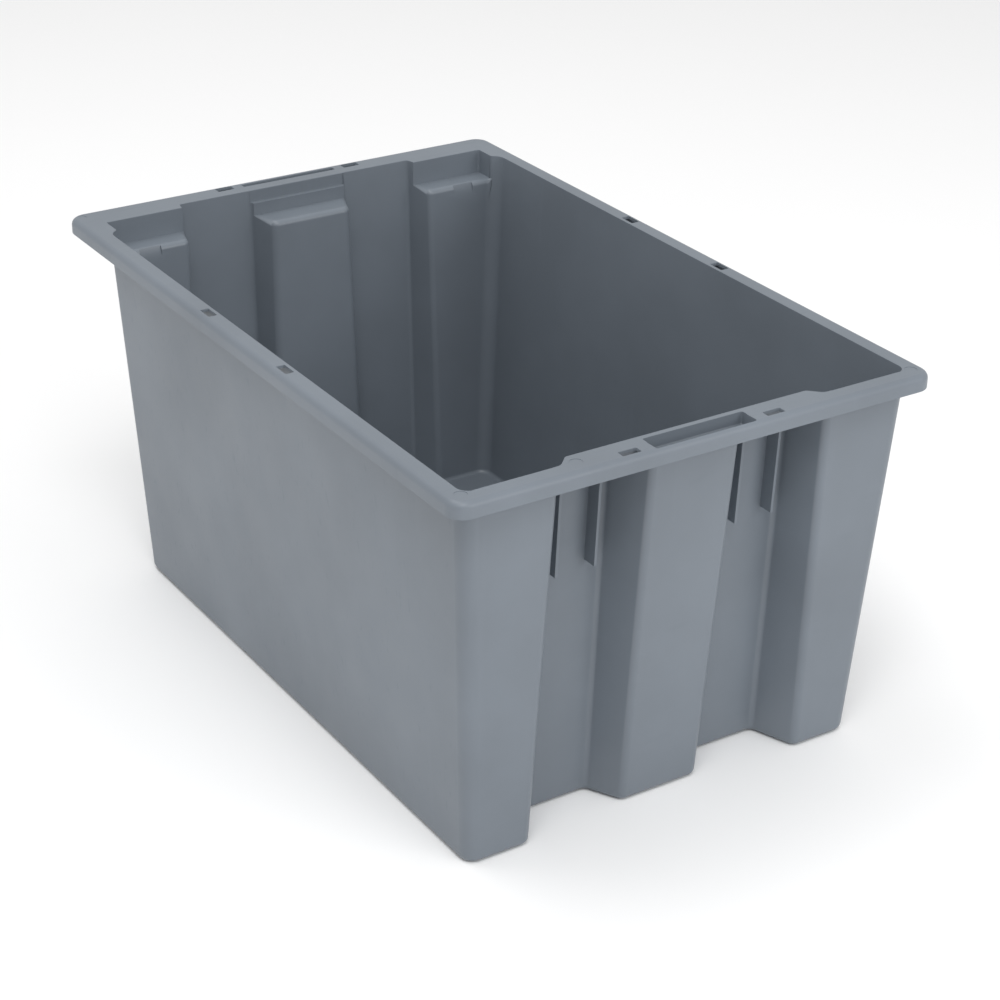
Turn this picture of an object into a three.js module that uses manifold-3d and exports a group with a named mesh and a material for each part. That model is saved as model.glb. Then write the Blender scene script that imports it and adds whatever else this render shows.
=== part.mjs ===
// Stack-and-nest storage tote, one thin-walled plastic moulding shown as its named regions.
// Millimetres, +Z up. +Y runs from the three-column front end (at -Y) to the two-column back end.
// The origin is the middle of the underside.
import * as THREE from 'three';
import { mergeVertices } from 'three/addons/utils/BufferGeometryUtils.js';
import Module from 'manifold-3d';

const wasm = await Module();
wasm.setup();

// ---- Driving sizes ----------------------------------------------------------------------------
const LENGTH = 597;
const WIDTH = 394;
const HEIGHT = 300;
const WALL = 2.5; // side and end walls, skirt and top of the rim
const FLOOR = 3.2;
const GAP = 0.3; // clearance between neighbouring regions

const DRAFT_SIDE = 16.1; // how far each side wall leans in from the top to the floor
const DRAFT_END = 16.5; // the same for an end column
const DRAFT_CENTRE = 9.1; // extra lean of the front centre column
const DRAFT_RECESS = 15.7; // lean of the grooves in the front end
const DRAFT_PILASTER = 10.4; // lean of the recesses in the back end

const RIM_WIDTH = 14.6; // top of the rim, outer edge to inner edge, on the sides and front
const BACK_RIM_WIDTH = 22.4; // the same along the back
const CORNER_RIM_WIDTH = 30.5; // the same over the back corner ledges
const PAD_WIDTH = 23.9; // the same on the wide pad in the middle of the front rim
const PAD_LENGTH = 206;
const SKIRT_HEIGHT = 12;
const RIM_CORNER_RADIUS = 13.5;
const RIM_EDGE_RADIUS = 4.5;
const PAD_END_RADIUS = 6;

const GROOVE_DEPTH = 36.4; // front grooves, behind the face of the front columns
const PILASTER_DEPTH = 27.2; // back recesses, behind the face of the back columns
const CORNER_RADIUS = 11;
const BACK_CORNER_RADIUS_TOP = 10;
const BACK_CORNER_RADIUS_FLOOR = 17;
const COLUMN_EDGE_RADIUS = 7;
const COLUMN_ROOT_RADIUS = 5;
const FLOOR_EDGE_RADIUS = 6;
const LIP_RADIUS = 5;
const LEAST_RADIUS = 0.8;

const LEDGE_DROP = 20.5; // rim top down to the stacking ledges
const BACK_STEP_DROP = 10; // rim top down to the small step above the back centre ledge
const BACK_STEP_WIDTH = 5;
const POST_WIDTH = 7; // corner posts beside the back corner ledges
const NOTCH_FROM_CORNER = 37.5; // outer wall face at the rim to the middle of a ledge notch
const NOTCH_LENGTH = 19;
const NOTCH_DEPTH = 3.2; // at the ledge; the notch runs out at its foot
const NOTCH_HEIGHT = 9;

const SLOT_LENGTH = 14.5;
const SLOT_WIDTH = 6.8;
const SLOT_FROM_CENTRE = 59.3;
const SLOT_FROM_EDGE = 8.2; // outer edge of the rim to the middle of a slot
const POCKET_LENGTH = 82.8;
const POCKET_WIDTH = 16.4;
const POCKET_FROM_EDGE = 3.4;
const POCKET_DEPTH = 9.3;
const BACK_POCKET_LENGTH = 86;
const BACK_POCKET_WIDTH = 5.5;
const BACK_POCKET_FROM_EDGE = 6;

const RIB_THICKNESS = 2.2;
const RIB_DEPTH = 12;
const RIB_HEIGHT = 77; // ledge underside down to the foot of a rib
const RIB_FROM_GROOVE_CENTRE = 16;

// Places across the tote where the end walls bend, at the rim and at the floor.
const FRONT_BENDS = {
  centreFace: [36, 32.5],
  grooveInner: [48, 47],
  grooveOuter: [103.5, 104.5],
  cornerFace: [110.5, 118],
};
const BACK_BENDS = {
  recess: [33, 39],
  columnInner: [42, 48],
  columnOuter: [109.5, 105],
  cornerRecess: [115, 119],
};

// ---- Derived levels and planes ----------------------------------------------------------------
const HALF_LENGTH = LENGTH / 2;
const HALF_WIDTH = WIDTH / 2;
const SIDE_TOP = HALF_WIDTH - RIM_WIDTH + WALL;
const FRONT_TOP = HALF_LENGTH - RIM_WIDTH + WALL;
const BACK_TOP = HALF_LENGTH - BACK_RIM_WIDTH + WALL;
const SKIRT_Z = HEIGHT - SKIRT_HEIGHT;
const PAD_STEP_Z = SKIRT_Z + WALL; // foot of the step beyond each end of the pad
const LEDGE_Z = HEIGHT - LEDGE_DROP;
const LEDGE_UNDERSIDE_Z = LEDGE_Z - WALL;
const PAD_EDGE_Y = HALF_LENGTH - PAD_WIDTH;
const CORNER_EDGE_Y = HALF_LENGTH - CORNER_RIM_WIDTH;
const BACK_EDGE_Y = HALF_LENGTH - BACK_RIM_WIDTH;
const RIM_REGION_Z = SKIRT_Z - WALL;
const LEDGE_REGION_Z = LEDGE_UNDERSIDE_Z - 2 * LIP_RADIUS;
const END_REGION_Y = HALF_LENGTH - RIM_WIDTH - GROOVE_DEPTH - DRAFT_RECESS - LIP_RADIUS;
const ARC_STEPS = 3;
const OVERLAP = 1; // how far a cut or a join runs past the face it meets
const FAR = 1000;

const plastic = new THREE.MeshStandardMaterial({ color: 0x7c8288, roughness: 0.46, metalness: 0 });

// ---- Solids -----------------------------------------------------------------------------------
// A closed three.js geometry as a solid that can be joined and cut.
function solidOf(geometry) {
  geometry.deleteAttribute('normal');
  geometry.deleteAttribute('uv');
  const merged = mergeVertices(geometry, 1e-5);
  return new wasm.Manifold(new wasm.Mesh({
    numProp: 3,
    vertProperties: new Float32Array(merged.attributes.position.array),
    triVerts: new Uint32Array(merged.index.array),
  }));
}

function box(x0, x1, y0, y1, z0, z1) {
  const geometry = new THREE.BoxGeometry(x1 - x0, y1 - y0, z1 - z0);
  geometry.translate((x0 + x1) / 2, (y0 + y1) / 2, (z0 + z1) / 2);
  return solidOf(geometry);
}

// A (y, z) section swept along X from x0 to x1.
function bar(shape, x0, x1) {
  const options = { depth: x1 - x0, bevelEnabled: false, curveSegments: ARC_STEPS };
  const geometry = new THREE.ExtrudeGeometry(shape, options);
  geometry.rotateX(Math.PI / 2);
  geometry.rotateZ(Math.PI / 2);
  geometry.translate(x0, 0, 0);
  return solidOf(geometry);
}

function roundedRectangle(halfX, halfY, radius) {
  const corners = [[halfX, halfY], [-halfX, halfY], [-halfX, -halfY], [halfX, -halfY]];
  return filletedRing(corners.map(([x, y]) => ({ x, y, radius })));
}

// A closed outline whose corners are replaced by arcs; every corner gives the same number of points.
function filletedRing(corners) {
  const points = [];
  corners.forEach((corner, i) => {
    const before = corners[(i + corners.length - 1) % corners.length];
    const after = corners[(i + 1) % corners.length];
    const here = new THREE.Vector2(corner.x, corner.y);
    const toBefore = new THREE.Vector2(before.x, before.y).sub(here);
    const toAfter = new THREE.Vector2(after.x, after.y).sub(here);
    const room = Math.min(toBefore.length(), toAfter.length()) * 0.49;
    toBefore.normalize();
    toAfter.normalize();
    const halfAngle = Math.acos(THREE.MathUtils.clamp(toBefore.dot(toAfter), -1, 1)) / 2;
    const reach = Math.min(corner.radius / Math.tan(halfAngle), room);
    const radius = reach * Math.tan(halfAngle);
    const middle = toBefore.clone().add(toAfter).normalize();
    const centre = here.clone().addScaledVector(middle, radius / Math.sin(halfAngle));
    const start = here.clone().addScaledVector(toBefore, reach).sub(centre);
    const end = here.clone().addScaledVector(toAfter, reach).sub(centre);
    const turn = Math.atan2(start.cross(end), start.dot(end));
    for (let k = 0; k <= ARC_STEPS; k++) {
      points.push(start.clone().rotateAround(new THREE.Vector2(), (turn * k) / ARC_STEPS).add(centre));
    }
  });
  return points;
}

// Every edge of an outline moved inwards by a distance; the outline runs anticlockwise.
function insetCorners(corners, distance) {
  return corners.map((corner, i) => {
    const before = corners[(i + corners.length - 1) % corners.length];
    const after = corners[(i + 1) % corners.length];
    const inA = new THREE.Vector2(before.y - corner.y, corner.x - before.x).normalize();
    const inB = new THREE.Vector2(corner.y - after.y, after.x - corner.x).normalize();
    const scale = distance / (1 + inA.dot(inB));
    const convex = inA.cross(inB) > 0;
    return {
      x: corner.x + (inA.x + inB.x) * scale,
      y: corner.y + (inA.y + inB.y) * scale,
      radius: Math.max(corner.radius + (convex ? -distance : distance), LEAST_RADIUS),
    };
  });
}

// A closed skin through rings of equal length, from the lowest ring to the highest.
function loft(rings, heights) {
  const count = rings[0].length;
  const positions = [];
  rings.forEach((ring, level) => ring.forEach((p) => positions.push(p.x, p.y, heights[level])));
  const faces = [];
  for (let level = 0; level + 1 < rings.length; level++) {
    for (let i = 0; i < count; i++) {
      const a = level * count + i;
      const b = level * count + ((i + 1) % count);
      faces.push(a, b, b + count, a, b + count, a + count);
    }
  }
  const last = (rings.length - 1) * count;
  THREE.ShapeUtils.triangulateShape(rings[0], []).forEach(([a, b, c]) => faces.push(a, c, b));
  THREE.ShapeUtils.triangulateShape(rings[rings.length - 1], [])
    .forEach(([a, b, c]) => faces.push(last + a, last + b, last + c));
  const geometry = new THREE.BufferGeometry();
  geometry.setAttribute('position', new THREE.Float32BufferAttribute(positions, 3));
  geometry.setIndex(faces);
  return solidOf(geometry);
}

// ---- The outline of the walls at a height -------------------------------------------------------
function wallCorners(z) {
  const drop = 1 - z / HEIGHT; // 0 at the rim, 1 at the floor
  const at = ([top, floor]) => top + (floor - top) * drop;
  const side = SIDE_TOP - DRAFT_SIDE * drop;
  const face = FRONT_TOP - DRAFT_END * drop;
  const centre = face - DRAFT_CENTRE * drop;
  const groove = FRONT_TOP - GROOVE_DEPTH - DRAFT_RECESS * drop;
  const column = BACK_TOP - DRAFT_END * drop;
  const recess = BACK_TOP - PILASTER_DEPTH - DRAFT_PILASTER * drop;
  const backRadius = at([BACK_CORNER_RADIUS_TOP, BACK_CORNER_RADIUS_FLOOR]);
  const right = [
    [at(FRONT_BENDS.centreFace), -centre, COLUMN_EDGE_RADIUS],
    [at(FRONT_BENDS.grooveInner), -groove, COLUMN_ROOT_RADIUS],
    [at(FRONT_BENDS.grooveOuter), -groove, COLUMN_ROOT_RADIUS],
    [at(FRONT_BENDS.cornerFace), -face, COLUMN_EDGE_RADIUS],
    [side, -face, CORNER_RADIUS],
    [side, recess, backRadius],
    [at(BACK_BENDS.cornerRecess), recess, COLUMN_ROOT_RADIUS],
    [at(BACK_BENDS.columnOuter), column, COLUMN_EDGE_RADIUS],
    [at(BACK_BENDS.columnInner), column, COLUMN_EDGE_RADIUS],
    [at(BACK_BENDS.recess), recess, COLUMN_ROOT_RADIUS],
  ];
  const left = right.map(([x, y, radius]) => [-x, y, radius]).reverse();
  return [...right, ...left].map(([x, y, radius]) => ({ x, y, radius }));
}

// Heights and insets of a wall whose foot is rounded into the floor.
function footLevels(floorZ, radius) {
  const levels = [];
  for (let k = 0; k <= ARC_STEPS; k++) {
    const angle = (Math.PI / 2) * (k / ARC_STEPS);
    levels.push({ z: floorZ + radius * (1 - Math.cos(angle)), inset: radius * (1 - Math.sin(angle)) });
  }
  return levels;
}

function wallBody(inset, floorZ, footRadius, topZ) {
  const levels = [...footLevels(floorZ, footRadius), { z: topZ, inset: 0 }];
  const rings = levels.map((level) => filletedRing(insetCorners(wallCorners(level.z), inset + level.inset)));
  return loft(rings, levels.map((level) => level.z));
}

// ---- The rim ------------------------------------------------------------------------------------
function rimBody() {
  const rings = [];
  const heights = [];
  const add = (z, inset) => {
    heights.push(z);
    rings.push(roundedRectangle(HALF_WIDTH - inset, HALF_LENGTH - inset, RIM_CORNER_RADIUS - inset));
  };
  add(SKIRT_Z, 0);
  for (let k = 0; k <= ARC_STEPS; k++) {
    const angle = (Math.PI / 2) * (k / ARC_STEPS);
    add(HEIGHT - RIM_EDGE_RADIUS * (1 - Math.sin(angle)), RIM_EDGE_RADIUS * (1 - Math.cos(angle)));
  }
  const under = roundedRectangle(HALF_WIDTH - WALL, HALF_LENGTH - WALL, RIM_CORNER_RADIUS - WALL);
  const channel = loft([under, under], [SKIRT_Z - OVERLAP, HEIGHT - WALL]);
  return loft(rings, heights).subtract(channel);
}

// Two slots through the top of the rim on each of the four sides.
function rimSlots() {
  const cuts = [];
  for (const side of [-1, 1]) {
    const acrossX = [-1, 1].map((end) => side * (HALF_WIDTH - SLOT_FROM_EDGE) + (end * SLOT_WIDTH) / 2);
    const acrossY = [-1, 1].map((end) => side * (HALF_LENGTH - SLOT_FROM_EDGE) + (end * SLOT_WIDTH) / 2);
    for (const step of [-1, 1]) {
      const along = [-1, 1].map((end) => step * SLOT_FROM_CENTRE + (end * SLOT_LENGTH) / 2);
      cuts.push(box(...acrossX, ...along, SKIRT_Z, HEIGHT + OVERLAP));
      cuts.push(box(...along, ...acrossY, SKIRT_Z, HEIGHT + OVERLAP));
    }
  }
  return cuts;
}

// ---- Stacking ledges ----------------------------------------------------------------------------
// Section of the hollow above a ledge: ledge at LEDGE_Z, rounded lip towards the inside of the tote.
// y runs away from the middle of the tote; the caller mirrors it for the front end.
function ledgeSection(faceY, backY) {
  const openY = faceY - 2 * LIP_RADIUS;
  const shape = new THREE.Shape();
  shape.moveTo(openY, HEIGHT + OVERLAP);
  shape.lineTo(openY, LEDGE_Z - LIP_RADIUS);
  shape.lineTo(faceY, LEDGE_Z - LIP_RADIUS);
  shape.absarc(faceY + LIP_RADIUS, LEDGE_Z - LIP_RADIUS, LIP_RADIUS, Math.PI, Math.PI / 2, true);
  shape.lineTo(backY, LEDGE_Z);
  shape.lineTo(backY, HEIGHT + OVERLAP);
  return shape;
}

function mirrored(shape) {
  return new THREE.Shape(shape.getPoints(ARC_STEPS).map((p) => new THREE.Vector2(-p.x, p.y)).reverse());
}

// The (y, z) section of a notch: a wedge that starts behind the lip and runs out down the face.
function notchSection() {
  const shape = new THREE.Shape();
  shape.moveTo(backFaceY - OVERLAP, LEDGE_Z + OVERLAP);
  shape.lineTo(backFaceY - OVERLAP, LEDGE_Z - NOTCH_HEIGHT);
  shape.lineTo(backFaceY, LEDGE_Z - NOTCH_HEIGHT);
  shape.lineTo(backFaceY + NOTCH_DEPTH, LEDGE_Z);
  shape.lineTo(backFaceY + NOTCH_DEPTH, LEDGE_Z + OVERLAP);
  return shape;
}

// The air beyond the right end of the pad, where the edge swings back to the rim's own edge.
function padEnd(endX) {
  const edgeY = -PAD_EDGE_Y;
  const rimY = -(FRONT_TOP - WALL);
  const ring = filletedRing([
    { x: PAD_LENGTH / 2 - PAD_END_RADIUS, y: edgeY, radius: LEAST_RADIUS },
    { x: PAD_LENGTH / 2 - PAD_END_RADIUS / 2, y: edgeY, radius: PAD_END_RADIUS / 2 },
    { x: PAD_LENGTH / 2 + PAD_END_RADIUS, y: rimY, radius: PAD_END_RADIUS },
    { x: endX + PAD_END_RADIUS, y: rimY, radius: LEAST_RADIUS },
    { x: endX + PAD_END_RADIUS, y: edgeY + WALL, radius: LEAST_RADIUS },
    { x: PAD_LENGTH / 2 - PAD_END_RADIUS, y: edgeY + WALL, radius: LEAST_RADIUS },
  ]);
  return loft([ring, ring], [PAD_STEP_Z, HEIGHT + OVERLAP]);
}

const lipLevel = 1 - (LEDGE_Z - LIP_RADIUS) / HEIGHT;
const backFaceY = BACK_TOP - PILASTER_DEPTH - DRAFT_PILASTER * lipLevel - WALL;
const frontFaceY = FRONT_TOP - GROOVE_DEPTH - DRAFT_RECESS * lipLevel - WALL;
const postX = SIDE_TOP - WALL - POST_WIDTH;
const centreHollowX = BACK_BENDS.columnInner[0] + WALL;
const cornerHollowX = BACK_BENDS.columnOuter[0] - WALL;
const grooveHollowX = [FRONT_BENDS.centreFace[0] - WALL, FRONT_BENDS.cornerFace[0] + WALL];
const blockZ = [LEDGE_UNDERSIDE_Z, HEIGHT - WALL];
// Inside the thickness of the leaning side wall, at the underside of the ledges.
const cornerBlockEndX = SIDE_TOP - DRAFT_SIDE * (1 - LEDGE_UNDERSIDE_Z / HEIGHT) - WALL / 4;

const ledgeBlocks = [
  box(-centreHollowX - WALL, centreHollowX + WALL, backFaceY + WALL, BACK_TOP, ...blockZ),
];
const ledgeHollows = [
  bar(ledgeSection(backFaceY, BACK_EDGE_Y - BACK_STEP_WIDTH), -centreHollowX, centreHollowX),
  box(
    -centreHollowX, centreHollowX, backFaceY, BACK_EDGE_Y, HEIGHT - BACK_STEP_DROP, HEIGHT + OVERLAP,
  ),
];
for (const side of [-1, 1]) {
  const across = (a, b) => [side * a, side * b].sort((p, q) => p - q);
  const cornerBlockX = across(cornerHollowX - WALL, cornerBlockEndX);
  ledgeBlocks.push(box(...cornerBlockX, backFaceY + WALL, CORNER_EDGE_Y + WALL, ...blockZ));
  ledgeHollows.push(bar(ledgeSection(backFaceY, CORNER_EDGE_Y), ...across(cornerHollowX, postX)));
  const [grooveA, grooveB] = across(...grooveHollowX);
  ledgeBlocks.push(box(
    grooveA - WALL, grooveB + WALL, -PAD_EDGE_Y - WALL, -frontFaceY - WALL, ...blockZ,
  ));
  ledgeHollows.push(bar(mirrored(ledgeSection(frontFaceY, PAD_EDGE_Y)), grooveA, grooveB));
  const notchX = side * (SIDE_TOP - NOTCH_FROM_CORNER);
  const halfNotch = NOTCH_LENGTH / 2;
  ledgeBlocks.push(box(
    notchX - halfNotch - WALL, notchX + halfNotch + WALL,
    backFaceY + WALL / 2, backFaceY + NOTCH_DEPTH + WALL, LEDGE_Z - NOTCH_HEIGHT - WALL, LEDGE_Z - OVERLAP,
  ));
  ledgeHollows.push(bar(notchSection(), notchX - halfNotch, notchX + halfNotch));
  const end = padEnd(grooveHollowX[1]);
  ledgeBlocks.push(box(
    ...across(PAD_LENGTH / 2 - PAD_END_RADIUS - WALL, grooveHollowX[1] + WALL),
    -FRONT_TOP + OVERLAP, -PAD_EDGE_Y, PAD_STEP_Z - WALL, HEIGHT - WALL,
  ));
  ledgeHollows.push(side > 0 ? end : end.mirror([1, 0, 0]));
}

// ---- Pad, pocket and slots in the end rims ------------------------------------------------------
const padHalf = PAD_LENGTH / 2 - PAD_END_RADIUS;
const pad = box(-padHalf, padHalf, -FRONT_TOP, -PAD_EDGE_Y, HEIGHT - WALL, HEIGHT);

const pocketOuterY = -HALF_LENGTH + POCKET_FROM_EDGE;
const pocketInnerY = pocketOuterY + POCKET_WIDTH;
const pocketShell = box(
  -POCKET_LENGTH / 2 - WALL, POCKET_LENGTH / 2 + WALL,
  -HALF_LENGTH + WALL - OVERLAP, pocketInnerY + WALL, HEIGHT - POCKET_DEPTH - WALL, HEIGHT - WALL / 2,
);
const pocket = box(
  -POCKET_LENGTH / 2, POCKET_LENGTH / 2, pocketOuterY, pocketInnerY,
  HEIGHT - POCKET_DEPTH, HEIGHT + OVERLAP,
);
const backPocketOuterY = HALF_LENGTH - BACK_POCKET_FROM_EDGE;
const backPocket = box(
  -BACK_POCKET_LENGTH / 2, BACK_POCKET_LENGTH / 2,
  backPocketOuterY - BACK_POCKET_WIDTH, backPocketOuterY, SKIRT_Z, HEIGHT + OVERLAP,
);

// ---- The whole moulding ---------------------------------------------------------------------------
const outerBody = wallBody(0, 0, FLOOR_EDGE_RADIUS, HEIGHT - WALL / 2);
const innerBody = wallBody(WALL, FLOOR, FLOOR_EDGE_RADIUS - WALL, HEIGHT + OVERLAP);

let tote = outerBody.add(rimBody());
for (const block of ledgeBlocks) tote = tote.add(block);
tote = tote.subtract(innerBody);
for (const hollow of ledgeHollows) tote = tote.subtract(hollow);
tote = tote.add(pad).add(pocketShell).subtract(pocket).subtract(backPocket);
for (const cut of rimSlots()) tote = tote.subtract(cut);

// ---- Regions ----------------------------------------------------------------------------------------
// The floor region is the flat plate inside the rounded foot of the walls.
// Every other region is the part of the walls and rim inside one box; neighbouring boxes stand GAP apart.
function floorPrism(inset) {
  const ring = filletedRing(insetCorners(wallCorners(0), inset));
  return loft([ring, ring], [-OVERLAP, FLOOR + OVERLAP]);
}

const floorInset = FLOOR_EDGE_RADIUS + OVERLAP;
const floorPlate = tote.intersect(floorPrism(floorInset));
const walls = tote.subtract(floorPrism(floorInset - GAP));

const regions = [];
function region(name, x0, x1, y0, y1, z0, z1) {
  regions.push({ name, limits: [x0, x1, y0, y1, z0, z1] });
}

const half = GAP / 2;
const columnX = FRONT_BENDS.grooveInner[0];
const cornerX = FRONT_BENDS.grooveOuter[0];
const pilasterX = BACK_BENDS.columnInner[1] + OVERLAP;
const backCornerX = BACK_BENDS.columnOuter[1] - OVERLAP;
const rimEndX = PAD_LENGTH / 2 + RIM_WIDTH / 2;
const wallZ = [-FAR, RIM_REGION_Z - half];
const lowZ = [-FAR, LEDGE_REGION_Z - half];
const ledgeZ = [LEDGE_REGION_Z + half, RIM_REGION_Z - half];
const rimZ = [RIM_REGION_Z + half, FAR];
const frontY = [-FAR, -END_REGION_Y - half];
const backY = [END_REGION_Y + half, FAR];
const middleY = [-END_REGION_Y + half, END_REGION_Y - half];

region('front_centre_column', -columnX + half, columnX - half, ...frontY, ...wallZ);
region('back_centre_pilaster', -pilasterX + half, pilasterX - half, ...backY, ...lowZ);
region('back_centre_ledge', -pilasterX + half, pilasterX - half, ...backY, ...ledgeZ);
region('front_rim_pad', -rimEndX + half, rimEndX - half, ...frontY, ...rimZ);
region('back_rim', -rimEndX + half, rimEndX - half, ...backY, ...rimZ);
for (const [side, word] of [[-1, 'left'], [1, 'right']]) {
  const across = (a, b) => [side * a, side * b].sort((p, q) => p - q);
  region(`side_wall_${word}`, ...across(0, FAR), ...middleY, ...wallZ);
  region(`side_rim_${word}`, ...across(0, FAR), ...middleY, ...rimZ);
  region(`front_corner_column_${word}`, ...across(cornerX + half, FAR), ...frontY, ...wallZ);
  region(`front_groove_${word}`, ...across(columnX + half, cornerX - half), ...frontY, ...lowZ);
  region(`front_ledge_${word}`, ...across(columnX + half, cornerX - half), ...frontY, ...ledgeZ);
  region(`back_corner_pilaster_${word}`, ...across(backCornerX + half, FAR), ...backY, ...lowZ);
  region(`back_corner_ledge_${word}`, ...across(backCornerX + half, FAR), ...backY, ...ledgeZ);
  region(`back_column_${word}`, ...across(pilasterX + half, backCornerX - half), ...backY, ...wallZ);
  region(`front_rim_corner_${word}`, ...across(rimEndX + half, FAR), ...frontY, ...rimZ);
  region(`back_rim_corner_${word}`, ...across(rimEndX + half, FAR), ...backY, ...rimZ);
}

// ---- Ribs under the front ledges ----------------------------------------------------------------------
// Each rib stands on the sloping face of its groove and tapers to the groove at its foot.
function ribBody(x) {
  const grooveAt = (z) => FRONT_TOP - GROOVE_DEPTH - DRAFT_RECESS * (1 - z / HEIGHT);
  const topZ = LEDGE_UNDERSIDE_Z - GAP;
  const footZ = LEDGE_UNDERSIDE_Z - RIB_HEIGHT;
  const shape = new THREE.Shape();
  shape.moveTo(-grooveAt(topZ) - GAP, topZ);
  shape.lineTo(-grooveAt(topZ) - RIB_DEPTH, topZ);
  shape.lineTo(-grooveAt(footZ) - RIB_DEPTH, footZ);
  shape.lineTo(-grooveAt(footZ) - GAP, footZ);
  return bar(shape, x - RIB_THICKNESS / 2, x + RIB_THICKNESS / 2);
}

// ---- Scene graph --------------------------------------------------------------------------------------
const group = new THREE.Group();

function addMesh(name, solid) {
  const mesh = solid.getMesh();
  const geometry = new THREE.BufferGeometry();
  geometry.setAttribute('position', new THREE.Float32BufferAttribute(mesh.vertProperties, 3));
  geometry.setIndex(Array.from(mesh.triVerts));
  const node = new THREE.Mesh(geometry, plastic.clone());
  node.name = name;
  group.add(node);
}

addMesh('floor', floorPlate);
for (const { name, limits } of regions) addMesh(name, walls.intersect(box(...limits)));

const grooveCentre = (FRONT_BENDS.grooveInner[0] + FRONT_BENDS.grooveOuter[0]) / 2;
for (const [side, word] of [[-1, 'left'], [1, 'right']]) {
  for (const [step, place] of [[-1, 'inner'], [1, 'outer']]) {
    const x = side * (grooveCentre + step * RIB_FROM_GROOVE_CENTRE);
    addMesh(`front_rib_${word}_${place}`, ribBody(x));
  }
}

export default group;
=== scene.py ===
"""Stack-and-nest storage tote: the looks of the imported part, modelled around its CAD frame.

The real tote is one injection moulding, so one skin stands for every CAD node.
Metres, +Z up. The front end, which has three outward columns, is at -Y.
The origin is the middle of the underside.
"""

import logging
import math
from collections.abc import Callable, Sequence
from dataclasses import dataclass, field
from enum import Enum

import bmesh
import bpy
from mathutils import Matrix, Vector

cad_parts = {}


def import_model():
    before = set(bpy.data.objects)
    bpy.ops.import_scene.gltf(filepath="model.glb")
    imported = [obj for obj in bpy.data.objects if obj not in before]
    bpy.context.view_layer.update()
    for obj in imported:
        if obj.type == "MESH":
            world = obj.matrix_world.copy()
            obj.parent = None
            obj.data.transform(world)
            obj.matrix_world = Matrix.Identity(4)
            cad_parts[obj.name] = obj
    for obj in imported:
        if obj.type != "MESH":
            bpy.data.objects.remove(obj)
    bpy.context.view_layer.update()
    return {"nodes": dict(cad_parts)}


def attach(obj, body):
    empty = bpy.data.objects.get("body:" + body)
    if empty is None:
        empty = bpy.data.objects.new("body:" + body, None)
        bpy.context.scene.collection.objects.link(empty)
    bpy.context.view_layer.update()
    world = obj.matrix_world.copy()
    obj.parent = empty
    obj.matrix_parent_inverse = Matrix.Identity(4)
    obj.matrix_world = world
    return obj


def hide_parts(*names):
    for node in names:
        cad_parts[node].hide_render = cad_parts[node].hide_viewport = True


Triple = tuple[float, float, float]
Span = tuple[float, float]
Edge = bmesh.types.BMEdge
Tree = bpy.types.NodeTree
Socket = bpy.types.NodeSocket

LOG = logging.getLogger("tote")
SIDES = (-1, 1)
OVERSHOOT = 0.002  # how far a cut runs past the face that it opens
WELD = 1e-5  # vertices nearer than this are merged after a boolean
SAME_PLACE = 1e-5  # points nearer than this count as one
HAIR = 0.0002  # keeps two faces off one plane
CRISP_TURN = math.radians(40)


class Join(Enum):
    """What a boolean does with the tool."""

    UNION = "UNION"
    CUT = "DIFFERENCE"


@dataclass(frozen=True)
class Corner:
    """One upright corner of a plan outline, with the radius that rounds it."""

    x: float
    y: float
    radius: float


def mirrored(corners: Sequence[Corner]) -> list[Corner]:
    """The corners on the other side of the middle plane, in the order that closes the outline."""
    return [Corner(-corner.x, corner.y, corner.radius) for corner in reversed(corners)]


@dataclass(frozen=True)
class Block:
    """An upright box between two opposite corners."""

    low: Triple
    high: Triple

    def mirrored(self) -> "Block":
        """The same box on the other side of the tote's middle plane."""
        low, high = self.low, self.high
        return Block((-high[0], low[1], low[2]), (-low[0], high[1], high[2]))

    def on(self, side: int) -> "Block":
        """The box on the right for side 1, or on the left for side -1."""
        return self if side > 0 else self.mirrored()


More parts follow.
